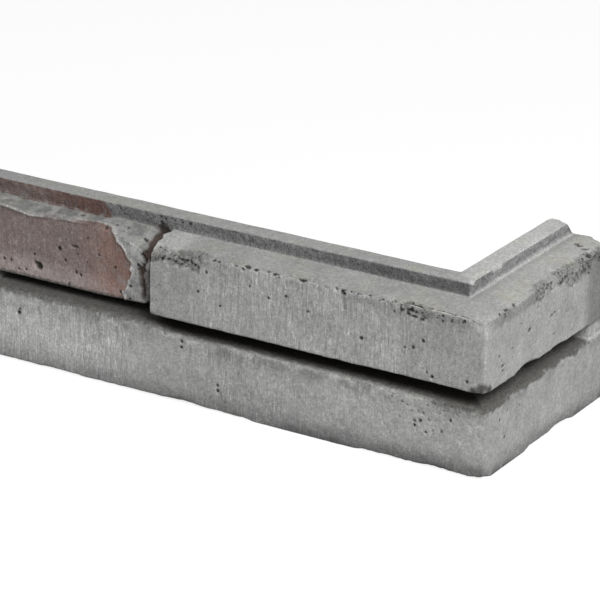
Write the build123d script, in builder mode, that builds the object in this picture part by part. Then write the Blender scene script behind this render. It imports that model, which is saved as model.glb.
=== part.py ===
"""Gypsum corner brick slip: one casting, two courses of bricks on an L-shaped back plate.

The long arm runs along X and the short arm along Y. They meet at the outer corner of the lower course,
at +X and -Y. The piece stands on its underside, Z = 0.
"""

import os
from math import sqrt

from build123d import *

# Driving dimensions, mm. The upper brick's height with its bed joint, 57 mm, sets the rest.
brick_height = 49
joint_width = 8
lower_height = 47
seat_step = 11  # the plate stands this much above the upper course, as a seat for the next slip
plate_thickness = 15
brick_relief = 27  # from the plate's front to the upper course's faces
lower_proud = 2  # the lower course stands out past the upper one
long_arm = 405  # outer length, along X
short_arm = 172  # outer length, along Y
stretcher_length = 247  # corner brick's face on the long arm
crevice_width = 3.5  # between the corner brick and the end brick
crevice_slant = 6  # the end brick's side slants back this much from the crevice to its face
set_back = 10  # of the end brick's face from the corner brick's
ledge_rise = 1.6  # a brick's top climbs this much from its face to the plate
cove_radius = 2.5  # hollow curve where the top meets the plate
joint_draft = 0.5  # the bed joint's roof climbs, and its floor falls, this much from the plate to the faces
end_lift = 2  # the end brick's underside is this much higher than the corner brick's
bed_rise = 3.5  # the lower course is this much higher under the end brick
bed_run = 14  # and falls back to its own height over this length
closed_long = 30  # the bed joint is closed over this length at the long arm's end
closed_short = 32  # and over this length at the short arm's end
end_spread = 1.5  # the end brick's sides spread this much from its face to the plate
closer_depth = 0.5  # the closed parts of the joint lie this much behind the faces
closer_short = 1.5  # and this much short of the arms' ends
plate_short = 1.5  # the plate ends this far short of the bricks
end_lean = 11  # the upper bricks' ends fall back this much from their peak to the face
lower_lean = 5  # the same, for the lower course's ends
inner_lean = 1.5  # the same, for the corner brick's end at the crevice
end_return = 2  # the ends fall back this much from their peak to the plate
arris_radius = 2.5  # worn edges along the bricks' tops and along the foot
roof_radius = 1  # edges along the upper bricks' undersides, which stay crisp
brick_end_chamfer = 2  # lower corner of the corner brick at the crevice
plate_tip_radius = 12  # back corner of the plate's end on the short arm, as seen from above
strip_radius = 1  # long edges of the plate's top

# The corner brick's far top corner is worn down to a slope over this length, drop and depth.
slope_length = 62
slope_drop = 8
slope_depth = 17

# Points along the end brick's top edge at its face: (distance from the crevice, drop below brick height)
face_edge = [(4, 13), (13, 8), (24, 5), (48, 1), (96, 3), (116, 0)]
# The same at the plate, where the brick stays fuller up to the crevice
plate_edge = [(1.5, 15), (5, 6), (14, 2), (48, 0.5), (96, 1), (116, 0)]
tail_drop = 1  # at the long arm's end
recess_drop = 28  # from here down the side of the end brick stays back from the crevice

# Shallow dips worn in the arrises, as bites of a big ball: (distance from the outer corner, bite) in mm
bite_radius = 70
short_top_dips = [(49, 1.6), (142, 1.8)]
short_roof_dips = [(58, 2.9), (100, 1.6)]
long_roof_dips = [(172, 1.1), (106, 1)]
long_foot_dips = [(34, 2.4), (222, 2.6)]
short_foot_dips = [(102, 2.2)]

# Heights and depths that follow. Depths are taken inward from the lower course's faces.
upper_bottom = lower_height + joint_width
upper_top = upper_bottom + brick_height
plate_top = upper_top + seat_step
face_depth = lower_proud
end_face_depth = face_depth + set_back
plate_front = face_depth + brick_relief
plate_back = plate_front + plate_thickness
bulge_depth = 0.75 * plate_front  # where a brick's end is longest
overlap = 1  # what is cast together is carried this far into each other
back = plate_front + overlap

# The origin is the middle of the plan's bounding box, on the underside.
corner_x = long_arm / 2
corner_y = -short_arm / 2
long_end = corner_x - long_arm
short_end = corner_y + short_arm
brick_end = corner_x - face_depth - stretcher_length
run_out = 20  # the courses are swept this much too long and are then cut to their ends


def plate_plan():
    """Returns the plan of the back plate: an L of even thickness with square ends."""
    with BuildSketch() as plan:
        with BuildLine():
            Polyline(
                (long_end + plate_short, corner_y + plate_front),
                (corner_x - plate_front, corner_y + plate_front),
                (corner_x - plate_front, short_end - plate_short),
                (corner_x - plate_back, short_end - plate_short),
                (corner_x - plate_back, corner_y + plate_back),
                (long_end + plate_short, corner_y + plate_back),
                close=True,
            )
        make_face()
    return plan.sketch


def course_plan(far_end, far_lean, near_lean):
    """Returns the plan of an L-shaped brick from far_end on the long arm to the short arm's end.

    Each end bulges: it is longest near the plate and falls back to the face, by far_lean on the long arm
    and by near_lean on the short arm.
    """
    with BuildSketch() as plan:
        with BuildLine():
            Polyline(
                (far_end + far_lean, corner_y),
                (corner_x, corner_y),
                (corner_x, short_end - near_lean),
            )
            Spline(
                (corner_x, short_end - near_lean),
                (corner_x - bulge_depth, short_end),
                (corner_x - back, short_end - end_return),
            )
            Polyline(
                (corner_x - back, short_end - end_return),
                (corner_x - back, corner_y + back),
                (far_end + end_return, corner_y + back),
            )
            Spline(
                (far_end + end_return, corner_y + back),
                (far_end, corner_y + bulge_depth),
                (far_end + far_lean, corner_y),
            )
        make_face()
    return plan.sketch


def arm_start():
    """Returns the upright plane across the long arm's end, with depth along its x and height along its y."""
    return Plane(
        origin=(long_end - run_out, corner_y, 0), x_dir=(0, 1, 0), z_dir=(1, 0, 0)
    )


def lower_section():
    """Returns the lower course's section. Its top is the floor of the bed joint and falls to the face."""
    with BuildSketch(arm_start()) as section:
        with BuildLine():
            Polyline(
                (0, 0),
                (back, 0),
                (back, lower_height + joint_draft),
                (plate_front, lower_height + joint_draft),
                (0, lower_height - joint_draft),
                close=True,
            )
        make_face()
        fillet(section.vertices().group_by(Axis.X)[0], arris_radius)
    return section.sketch


def upper_section():
    """Returns the upper course's section: the joint's roof, a sloped top and a cove against the plate."""
    top_back = upper_top + ledge_rise
    with BuildSketch(arm_start()) as section:
        with BuildLine():
            Polyline(
                (plate_front - cove_radius, top_back),
                (face_depth, upper_top),
                (face_depth, upper_bottom + joint_draft),
                (plate_front, upper_bottom - joint_draft),
                (back, upper_bottom - joint_draft),
                (back, top_back + cove_radius),
                (plate_front, top_back + cove_radius),
            )
            RadiusArc(
                (plate_front, top_back + cove_radius),
                (plate_front - cove_radius, top_back),
                cove_radius,
            )
        make_face()
        face_corners = section.vertices().group_by(Axis.X)[0].sort_by(Axis.Y)
        fillet(face_corners[-1], arris_radius)
        face_corners = section.vertices().group_by(Axis.X)[0].sort_by(Axis.Y)
        fillet(face_corners[0], roof_radius)
    return section.sketch


def end_brick_outline(depth, spread, edge, recess):
    """Returns the end brick's outline at a depth. Its top edge follows the given points down to the crevice.

    recess is how far its lower part stays back from the crevice.
    """
    left = long_end - spread
    right = brick_end - crevice_width + spread
    top = upper_top + spread
    bottom = upper_bottom + end_lift
    top_edge = [(right - distance, top - drop) for distance, drop in edge]
    with BuildSketch(Plane.XZ.offset(-corner_y - depth)) as outline:
        with BuildLine():
            Polyline(
                (left, top - tail_drop),
                (left, bottom),
                (right - recess, bottom),
                (right - recess, top - recess_drop),
            )
            Spline((right - recess, top - recess_drop), *top_edge, (left, top - tail_drop))
        make_face()
    return outline.sketch


def bite_centres(arm, dips, depth, height, upward):
    """Returns the centres of the balls that bite the given dips into an arris of one arm.

    depth and height place the arris. upward is 1 where the brick lies below it and -1 where it lies above.
    """
    centres = []
    for distance, bite in dips:
        stand_off = (bite_radius - bite) / sqrt(2)
        if arm == "long":
            centre = (corner_x - distance, corner_y + depth - stand_off, height + upward * stand_off)
        else:
            centre = (corner_x - depth + stand_off, corner_y + distance, height + upward * stand_off)
        centres.append(centre)
    return centres


# The line of the lower course's faces on the underside, which both courses follow
with BuildLine() as bend:
    Polyline(
        (long_end - run_out, corner_y, 0),
        (corner_x, corner_y, 0),
        (corner_x, short_end + run_out, 0),
    )

# The back plate, with a rounded tip on the short arm
with BuildPart() as back_plate:
    extrude(plate_plan(), amount=plate_top)
    tip_corners = back_plate.edges().filter_by(Axis.Z).group_by(Axis.Y)[-1]
    fillet(tip_corners.sort_by(Axis.X)[0], plate_tip_radius)
    fillet(back_plate.faces().sort_by(Axis.Z)[-1].edges(), strip_radius)

# The lower course, with its arrises worn round and dipped
with BuildPart() as lower_course:
    sweep(lower_section(), path=bend.wires()[0], transition=Transition.RIGHT)
    extrude(course_plan(long_end, lower_lean, lower_lean), amount=plate_top, mode=Mode.INTERSECT)
    feet = bite_centres("long", long_foot_dips, 0, 0, -1)
    feet += bite_centres("short", short_foot_dips, 0, 0, -1)
    with Locations(*feet):
        Sphere(bite_radius, mode=Mode.SUBTRACT)

# The lower course's raised bed under the end brick
with BuildPart() as raised_bed:
    bed_start = Plane(origin=(long_end, corner_y, lower_height), x_dir=(0, 1, 0), z_dir=(1, 0, 0))
    with BuildSketch(bed_start) as bed_section:
        with BuildLine():
            Polyline(
                (0, -joint_width),
                (back, -joint_width),
                (back, bed_rise + joint_draft),
                (0, bed_rise - joint_draft),
                close=True,
            )
        make_face()
        bed_corners = bed_section.vertices().group_by(Axis.X)[0].sort_by(Axis.Y)
        fillet(bed_corners[-1], arris_radius)
    extrude(amount=brick_end + bed_run - long_end)
    extrude(course_plan(long_end, lower_lean, lower_lean), amount=plate_top, mode=Mode.INTERSECT)
    bed_fall = Plane(origin=(brick_end + bed_run, corner_y, lower_height), z_dir=(bed_rise, 0, bed_run))
    split(bisect_by=bed_fall, keep=Keep.BOTTOM)

# The corner brick of the upper course, its far top corner worn to a slope
with BuildPart() as corner_brick:
    sweep(upper_section(), path=bend.wires()[0], transition=Transition.RIGHT)
    extrude(course_plan(brick_end, inner_lean, end_lean), amount=plate_top, mode=Mode.INTERSECT)
    slope_start = Vector(brick_end + slope_length, corner_y + face_depth, upper_top)
    slope_foot = Vector(brick_end, corner_y + face_depth, upper_top - slope_drop)
    slope_head = Vector(brick_end, corner_y + face_depth + slope_depth, upper_top + ledge_rise / 2)
    slope = Plane(
        origin=slope_foot,
        x_dir=slope_start - slope_foot,
        z_dir=(slope_start - slope_foot).cross(slope_head - slope_foot),
    )
    split(bisect_by=slope, keep=Keep.BOTTOM)
    chamfer_start = (brick_end + brick_end_chamfer, corner_y, upper_bottom)
    split(bisect_by=Plane(origin=chamfer_start, z_dir=(-1, 0, -1)), keep=Keep.BOTTOM)
    # The cove ends with the plate
    with Locations((corner_x - plate_front, short_end - plate_short, upper_top + ledge_rise)):
        Box(
            2 * cove_radius + overlap,
            run_out,
            2 * cove_radius,
            align=(Align.CENTER, Align.MIN, Align.MIN),
            mode=Mode.SUBTRACT,
        )
    dips = bite_centres("short", short_top_dips, face_depth, upper_top, 1)
    dips += bite_centres("short", short_roof_dips, face_depth, upper_bottom, -1)
    dips += bite_centres("long", long_roof_dips, face_depth, upper_bottom, -1)
    with Locations(*dips):
        Sphere(bite_radius, mode=Mode.SUBTRACT)

# The end brick, set back. It spreads from its face to the plate.
with BuildPart() as end_brick:
    face_outline = end_brick_outline(end_face_depth, 0, face_edge, crevice_slant)
    plate_outline = end_brick_outline(back, end_spread, plate_edge, end_spread)
    loft([face_outline, plate_outline])
    extrude(course_plan(long_end, end_lean, end_lean), amount=plate_top, mode=Mode.INTERSECT)

# Short blocks, cast with the rest, that close the bed joint at the arms' ends
with BuildPart() as joint_closers:
    closer_plane = Plane.XY.offset(lower_height - overlap)
    with BuildSketch(closer_plane):
        with BuildLine():
            Polyline(
                (long_end + closer_short, corner_y + end_face_depth + closer_depth),
                (long_end + closed_long - joint_width / 2, corner_y + end_face_depth + closer_depth),
                (long_end + closed_long, corner_y + back),
                (long_end + closer_short, corner_y + back),
                close=True,
            )
        make_face()
    extrude(amount=overlap + joint_width + end_lift + overlap)
    with BuildSketch(closer_plane):
        with BuildLine():
            Polyline(
                (corner_x - face_depth - closer_depth, short_end - lower_lean - closer_short),
                (corner_x - face_depth - closer_depth, short_end - closed_short + joint_width / 2),
                (corner_x - back, short_end - closed_short),
                (corner_x - back, short_end - end_return - closer_short),
                (corner_x - bulge_depth, short_end - closer_short),
                close=True,
            )
        make_face()
    extrude(amount=overlap + joint_width + overlap)

with BuildPart() as corner_slip:
    add(back_plate.part)
    add(lower_course.part)
    add(raised_bed.part)
    add(corner_brick.part)
    add(end_brick.part)
    add(joint_closers.part)

corner_slip.part.label = "corner_slip"

os.makedirs("parts", exist_ok=True)
export_step(corner_slip.part, "parts/corner_slip.step")
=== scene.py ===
"""Dresses the gypsum corner brick slip as a worn grey casting with one iron-red end brick, in a white studio.

Lengths in the code are millimetres unless a name says metres. Places on the casting are given from its outer
corner: u runs along the long arm, v along the short arm, and z is the height above the floor. Wear and colour
ease in and out between such places, by ramp and band.
"""

from __future__ import annotations

import logging
from dataclasses import dataclass, field
from enum import Enum
from math import pi
from typing import Any

import bpy
import numpy as np
from mathutils import Matrix, Vector

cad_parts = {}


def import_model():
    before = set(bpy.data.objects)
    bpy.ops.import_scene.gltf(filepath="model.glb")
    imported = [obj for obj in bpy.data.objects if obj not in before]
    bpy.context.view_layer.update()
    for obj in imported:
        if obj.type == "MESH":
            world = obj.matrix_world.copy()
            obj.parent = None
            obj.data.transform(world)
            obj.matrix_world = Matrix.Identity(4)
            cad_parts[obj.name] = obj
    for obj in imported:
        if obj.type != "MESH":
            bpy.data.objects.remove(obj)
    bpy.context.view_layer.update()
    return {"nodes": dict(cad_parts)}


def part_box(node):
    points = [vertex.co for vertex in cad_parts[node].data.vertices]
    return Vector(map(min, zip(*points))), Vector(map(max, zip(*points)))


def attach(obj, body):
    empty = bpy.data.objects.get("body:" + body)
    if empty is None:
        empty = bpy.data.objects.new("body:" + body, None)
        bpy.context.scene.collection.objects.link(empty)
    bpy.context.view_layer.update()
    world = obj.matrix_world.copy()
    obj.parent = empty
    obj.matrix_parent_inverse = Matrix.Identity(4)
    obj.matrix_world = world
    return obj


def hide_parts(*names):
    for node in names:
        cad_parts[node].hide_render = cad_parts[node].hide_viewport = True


LOG = logging.getLogger("corner_slip")
MM = 0.001
NODE = "corner_slip"
OUTSIDE = -20.0  # distance inside an area, in mm, given to points that are nowhere near it

Tree = bpy.types.NodeTree
Socket = bpy.types.NodeSocket
Line = tuple[tuple[float, float], ...]


def linear(hex_colour: str) -> tuple[float, float, float, float]:
    """Turns an sRGB hex colour to Blender's linear colour.

    Args:
        hex_colour: The colour, such as "#A0A09C".

    Returns:
        Red, green, blue and an alpha of one.
    """
    channels = []
    for start in (1, 3, 5):
        value = int(hex_colour[start : start + 2], 16) / 255
        channels.append(value / 12.92 if value <= 0.04045 else ((value + 0.055) / 1.055) ** 2.4)
    return (channels[0], channels[1], channels[2], 1.0)


def ramp(low: float, high: float, values: np.ndarray) -> np.ndarray:
    """Eases from 0 at low to 1 at high. With low above high, it eases the other way.

    Args:
        low: Value that gives 0.
        high: Value that gives 1.
        values: What to ease.

    Returns:
        The eased values.
    """
    t = np.clip((values - low) / (high - low), 0, 1)
    return t * t * (3 - 2 * t)


def band(start: float, full: float, past: float, end: float, values: np.ndarray) -> np.ndarray:
    """Eases from 0 at start to 1 at full, and from 1 at past back to 0 at end.

    Args:
        start: Value up to which it gives 0.
        full: Value from which it gives 1.
        past: Value up to which it gives 1.
        end: Value from which it gives 0 again.
        values: What to ease.

    Returns:
        The eased values.
    """
    return ramp(start, full, values) * ramp(end, past, values)


def add_node(
    tree: Tree, kind: str, inputs: dict[Any, Any] | None = None, **settings: Any
) -> bpy.types.Node:
    """Adds a node, with its settings, its input values and the links into it.

    Args:
        tree: Node tree to add to.
        kind: Blender's name for the kind of node, without "ShaderNode".
        inputs: Value or output socket for each input, by the input's name or number.
        **settings: The node's own settings.

    Returns:
        The new node.
    """
    node = tree.nodes.new("ShaderNode" + kind)
    for name, value in settings.items():
        setattr(node, name, value)
    for name, value in (inputs or {}).items():
        if isinstance(value, Socket):
            tree.links.new(value, node.inputs[name])
        else:
            node.inputs[name].default_value = value
    return node


@dataclass(frozen=True)
class Lumps:
    """Smooth random swellings in space, as left by a mould and by handling.

    Attributes:
        cell: Distance between swellings.
        seed: Picks one pattern.
    """

    cell: float
    seed: int

    def at(self, points: np.ndarray) -> np.ndarray:
        """Measures the swellings at some points.

        Args:
            points: Points, one a row.

        Returns:
            A value from -1 to 1 for each point.
        """
        turn = np.array([[0.80, 0.36, -0.48], [-0.60, 0.48, -0.64], [0.0, 0.80, 0.60]])
        turned = points @ turn / self.cell + 7.3 * self.seed
        whole = np.floor(turned).astype(np.int64)
        part = turned - whole
        part = part * part * part * (part * (part * 6 - 15) + 10)
        total = np.zeros(len(points))
        for corner in range(8):
            step = np.array([corner & 1, corner >> 1 & 1, corner >> 2 & 1])
            share = np.prod(np.where(step, part, 1 - part), axis=1)
            total += share * self._value(whole + step)
        return total

    def _value(self, cells: np.ndarray) -> np.ndarray:
        """Gives each whole cell its own fixed value from -1 to 1.

        Args:
            cells: Whole places in the lattice, one row for each.

        Returns:
            Their values.
        """
        mixed = cells[:, 0] * 73856093 ^ cells[:, 1] * 19349663 ^ cells[:, 2] * 83492791
        mixed = mixed ^ self.seed * 2654435
        mixed = (mixed ^ mixed >> 13) * 1274126177 & 0x7FFFFFFF
        mixed = (mixed ^ mixed >> 15) * 668265263 & 0x7FFFFFFF
        return mixed / 0x3FFFFFFF - 1


@dataclass(frozen=True)
class Pit:
    """One air bubble or gouge that is open at the surface.

    Attributes:
        u: Distance from the outer corner along the long arm.
        v: Distance from the outer corner along the short arm.
        z: Height.
        radius: Radius of its mouth.
        wide: How much wider than high its mouth is.
        dark: How strongly its inside is darkened with painted shade, from 0 to 1.
    """

    u: float
    v: float
    z: float
    radius: float
    wide: float = 1.0
    dark: float = 1.0


@dataclass(frozen=True)
class Gully:
    """A groove in the surface along a straight line.

    Attributes:
        start: First end of the line, as u, v and z.
        end: Other end of the line.
        radius: Half its width.
        sunk: How deep it is.
        brown: How brown with pigment and dirt its inside is, from 0 to 1.
    """

    start: tuple[float, float, float]
    end: tuple[float, float, float]
    radius: float
    sunk: float
    brown: float = 0.0

    def inside(self, surface: Surface) -> np.ndarray:
        """Measures how much each point of a surface is in the groove, from 0 to 1.

        Args:
            surface: The casting's surface.

        Returns:
            The shares, 1 along the groove's middle.
        """
        start, end = np.array(self.start), np.array(self.end)
        line = end - start
        away = np.stack((surface.u, surface.v, surface.z), axis=1) - start
        along = np.clip(away @ line / (line @ line), 0, 1)
        reach = np.linalg.norm(away - along[:, None] * line, axis=1) / self.radius
        return ramp(1.15, 0.55, reach + 0.25 * Lumps(2.5, 33).at(surface.points))


@dataclass(frozen=True)
class PitRow:
    """A row of pits scattered along a line, such as an arris.

    Attributes:
        start: First end of the line, as u, v and z.
        end: Other end of the line.
        count: How many pits.
        spread: How far they stray from the line, mostly along u and z.
        radii: Smallest and largest radius.
        seed: Picks one scatter.
        flat: Whether they lie on one of the long arm's faces, and not on an arris.
    """

    start: tuple[float, float, float]
    end: tuple[float, float, float]
    count: int
    spread: float
    radii: tuple[float, float]
    seed: int
    flat: bool = False

    def pits(self) -> list[Pit]:
        """Scatters the row's pits.

        Returns:
            The pits, in the order of the draws.
        """
        chance = np.random.default_rng(self.seed)
        start, end = np.array(self.start), np.array(self.end)
        made = []
        for _ in range(self.count):
            stray = chance.normal(0, self.spread, 3) * (1, 0.0 if self.flat else 0.3, 1)
            place = start + (end - start) * chance.random() + stray
            radius = self.radii[0] + (self.radii[1] - self.radii[0]) * chance.random() ** 2
            wide = float(np.exp(chance.normal(0, 0.35)))
            made.append(Pit(*place, radius, wide, 0.65 if self.flat else 1.0))
        return made


class Mask(Enum):
    """What is stored at each point of the casting for its finish, from 0 to 1 unless it says more."""

    RED = "red_mm"  # distance inside the red area, in mm
    STAIN = "stain_mm"  # distance inside the stain on the plate, in mm
    PLATE = "plate"
    # distance inside the bed joint's dirt, in mm; deep in the joint it stands for painted shade
    DIRT_AND_SHADE = "dirt_and_shade_mm"  # distance inside the bed joint's dirt, in mm
    CREVICE = "crevice"
    # where the pits are, whose insides get painted shade
    PIT = "pit"
    POROUS = "porous"
    # pale places, partly painted highlights
    PALE_AND_HIGHLIGHT = "pale"
    FLAKE = "flake_mm"  # distance below the flaking arris's crack, in mm
    FLAKING = "flaking"
    STREAK = "streak"
    LEDGE = "ledge"
    DUST = "dust"
    WARM = "warm"
    # factor on the colour: tones of its own, and painted shade and light
    TONE_AND_PAINTED_LIGHT = "tone"  # multiplies the colour, 1 where it stays


@dataclass(frozen=True)
class CastGypsum:
    """Cement-grey gypsum, poured into a rubber mould: dull, chalky and gritty, with open air bubbles.

    The eye sees matt grey with a fine grain, upright streaks on the faces, broken arrises and specks darkened
    with painted shade.
    The end brick and the plate behind it are tinted with iron oxide, which reads as dusty red-brown, and the
    bed joint is dark with dirt and, deep in, with painted shade.
    """

    grey: str = "#A5A5A4"
    grey_light: str = "#B6B6B4"
    grey_dark: str = "#939393"
    olive: str = "#A4A397"
    pale: str = "#CBC8C4"
    sandy: str = "#7C7C7C"
    sandy_dark: str = "#545556"
    red: str = "#897A76"
    red_light: str = "#A29693"
    red_orange: str = "#8D6D61"
    stain: str = "#7D6B65"
    stain_dark: str = "#684C44"
    brown: str = "#54463F"
    dirt: str = "#484744"
    dirt_light: str = "#5E5D5A"
    joint_painted_shade: str = "#36312E"
    # painted shade for pit mouths, cavities and the flaking arris's crack
    painted_shade: str = "#34332F"
    roughness: float = 0.92
    ior: float = 1.52

    def material(self) -> bpy.types.Material:
        """Builds the finish for the whole casting.

        Returns:
            The material.
        """
        made = bpy.data.materials.new("cast_gypsum_cement_grey")
        made.use_nodes = True
        tree = made.node_tree
        tree.nodes.clear()
        place = add_node(tree, "TexCoord").outputs["Object"]
        mm = add_node(tree, "Mapping", {"Vector": place, "Scale": (1000, 1000, 1000)}).outputs[0]

        texture, streak_height = self._texture(tree, mm)
        tone = self._greys(tree, mm)
        tone, sand_height = self._plate(tree, mm, tone)
        tone = self._reds(tree, mm, tone)
        tone = self._shade(tree, tone, texture)
        tone = self._shade(tree, tone, self._mask(tree, Mask.TONE_AND_PAINTED_LIGHT))
        tone = self._flake(tree, mm, tone)
        tone, speck_height = self._specks(tree, mm, tone)
        tone = self._dirt_and_shade(tree, mm, tone)

        grain = self._noise(tree, mm, 1.1, 4, 0.65)
        lumps = self._noise(tree, mm, 4.5, 3, 0.5)
        bump = add_node(tree, "Bump", {"Strength": 0.35, "Distance": 0.0007, "Height": lumps})
        for height, strength, distance in (
            (grain, 0.8, 0.0004),
            (streak_height, 0.8, 0.0005),
            (sand_height, 1.0, 0.0008),
            (speck_height, 1.0, 0.0009),
        ):
            bump = add_node(
                tree,
                "Bump",
                {"Strength": strength, "Distance": distance, "Height": height, "Normal": bump.outputs[0]},
            )
        shader = add_node(
            tree,
            "BsdfPrincipled",
            {"Base Color": tone, "Roughness": self.roughness, "IOR": self.ior, "Normal": bump.outputs[0]},
        )
        add_node(tree, "OutputMaterial", {"Surface": shader.outputs[0]})
        return made

    def _mask(self, tree: Tree, mask: Mask) -> Socket:
        """Reads one stored mask."""
        return add_node(tree, "Attribute", attribute_name=mask.value).outputs["Fac"]

    def _noise(self, tree: Tree, place: Socket, size: float, detail: float, rough: float) -> Socket:
        """Gives noise whose blotches are about size mm across, with finer detail on them."""
        settings = {"Vector": place, "Scale": 1 / size, "Detail": detail, "Roughness": rough}
        return add_node(tree, "TexNoise", settings).outputs[0]

    def _math(self, tree: Tree, operation: str, *values: Any) -> Socket:
        """Does one sum on values or sockets."""
        return add_node(tree, "Math", dict(enumerate(values)), operation=operation).outputs[0]

    def _between(self, tree: Tree, value: Socket, low: float, high: float) -> Socket:
        """Eases a value from 0 at low to 1 at high."""
        settings = {"Value": value, "From Min": low, "From Max": high}
        return add_node(tree, "MapRange", settings, interpolation_type="SMOOTHSTEP").outputs[0]

    def _mix(self, tree: Tree, share: Any, first: Any, second: Any) -> Socket:
        """Mixes two colours, each a hex value or a socket."""
        colours = [linear(c) if isinstance(c, str) else c for c in (first, second)]
        return add_node(tree, "Mix", {0: share, 6: colours[0], 7: colours[1]}, data_type="RGBA").outputs[2]

    def _shade(self, tree: Tree, tone: Any, amount: Any) -> Socket:
        """Multiplies a colour by a grey amount."""
        mixer = add_node(tree, "Mix", {0: 1.0, 6: tone, 7: amount}, data_type="RGBA", blend_type="MULTIPLY")
        return mixer.outputs[2]

    def _share(self, tree: Tree, value: Socket, amount: float) -> Socket:
        """Takes a part of a value."""
        return self._math(tree, "MULTIPLY", value, amount)

    def _greys(self, tree: Tree, mm: Socket) -> Socket:
        """Makes the grey: clouds about 30 mm wide, olive patches, blotches of 6 mm and pale edges, partly
        painted highlights.

        Args:
            tree: The material's node tree.
            mm: Place in mm.

        Returns:
            The grey, before streaks, tints and dirt.
        """
        clouds = self._between(tree, self._noise(tree, mm, 32, 3, 0.55), 0.35, 0.68)
        patches = self._between(tree, self._noise(tree, mm, 22, 4, 0.6), 0.5, 0.66)
        blotches = self._between(tree, self._noise(tree, mm, 6, 4, 0.6), 0.42, 0.72)
        tone = self._mix(tree, self._share(tree, clouds, 0.5), self.grey, self.grey_dark)
        patches = self._math(tree, "MULTIPLY", patches, self._mask(tree, Mask.LEDGE))
        tone = self._mix(tree, self._share(tree, patches, 0.6), tone, self.olive)
        tone = self._mix(tree, self._share(tree, blotches, 0.4), tone, self.grey_light)
        broken = self._between(tree, self._noise(tree, mm, 2.5, 3, 0.6), 0.42, 0.56)
        broken = self._math(tree, "MULTIPLY", broken, self._mask(tree, Mask.PALE_AND_HIGHLIGHT))
        return self._mix(tree, broken, tone, self.pale)

    def _texture(self, tree: Tree, mm: Socket) -> tuple[Socket, Socket]:
        """Makes the grain, about 1.2 mm, and the upright streaks left by the mould's brushed face.

        The streaks are of two sizes, 1 mm by 9 mm and 2.6 mm by 26 mm, with short bright dashes of 5 mm. The
        real grit is finer: it is drawn this coarse to show.

        Args:
            tree: The material's node tree.
            mm: Place in mm.

        Returns:
            The amount that multiplies the colour, and the streaks' height.
        """
        grain = self._noise(tree, mm, 1.2, 3, 0.7)
        strength = self._mask(tree, Mask.STREAK)
        amount = self._math(tree, "MULTIPLY_ADD", grain, 1.3, 0.35)
        coarse = self._math(tree, "MULTIPLY_ADD", self._noise(tree, mm, 2.6, 3, 0.6), 0.7, 0.65)
        amount = self._math(tree, "MULTIPLY", amount, coarse)
        height = self._math(tree, "MULTIPLY", strength, 0.0)
        for width, length, contrast in ((1.0, 9.0, 0.85), (2.6, 26.0, 0.5)):
            away = self._math(tree, "SUBTRACT", self._upright_noise(tree, mm, width, length, 3, 0.6), 0.5)
            streak = self._math(tree, "MULTIPLY", away, strength)
            height = self._math(tree, "ADD", height, streak)
            darker = self._math(tree, "MULTIPLY_ADD", streak, contrast, 1.0)
            amount = self._math(tree, "MULTIPLY", amount, darker)
        dashes = self._between(tree, self._upright_noise(tree, mm, 1.3, 5.0, 2, 0.5), 0.56, 0.70)
        bright = self._math(tree, "MULTIPLY", dashes, strength)
        brighter = self._math(tree, "MULTIPLY_ADD", bright, 0.3, 1.0)
        return self._math(tree, "MULTIPLY", amount, brighter), height

    def _upright_noise(
        self, tree: Tree, mm: Socket, width: float, length: float, detail: float, rough: float
    ) -> Socket:
        """Gives noise whose blotches are drawn out upright, to a width and length in mm.

        Args:
            tree: The material's node tree.
            mm: Place in mm.
            width: Width of a blotch in mm.
            length: Its length upright in mm.
            detail: How many finer layers lie on the noise.
            rough: How strong the finer layers are.

        Returns:
            The noise, from 0 to 1.
        """
        scale = (1 / width, 1 / width, 1 / length)
        drawn_out = add_node(tree, "Mapping", {"Vector": mm, "Scale": scale}).outputs[0]
        return self._noise(tree, drawn_out, 1.0, detail, rough)

    def _plate(self, tree: Tree, mm: Socket, tone: Socket) -> tuple[Socket, Socket]:
        """Makes the plate's sandy front, whose grains and pores are about 1.5 mm.

        Args:
            tree: The material's node tree.
            mm: Place in mm.
            tone: The colour so far.

        Returns:
            The colour with it, and its height.
        """
        plate = self._mask(tree, Mask.PLATE)
        grains = self._noise(tree, mm, 1.5, 4, 0.75)
        pores = self._between(tree, grains, 0.52, 0.36)
        sandy = self._mix(tree, pores, self.sandy, self.sandy_dark)
        height = self._math(tree, "MULTIPLY", grains, plate)
        return self._mix(tree, plate, tone, sandy), height

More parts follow.
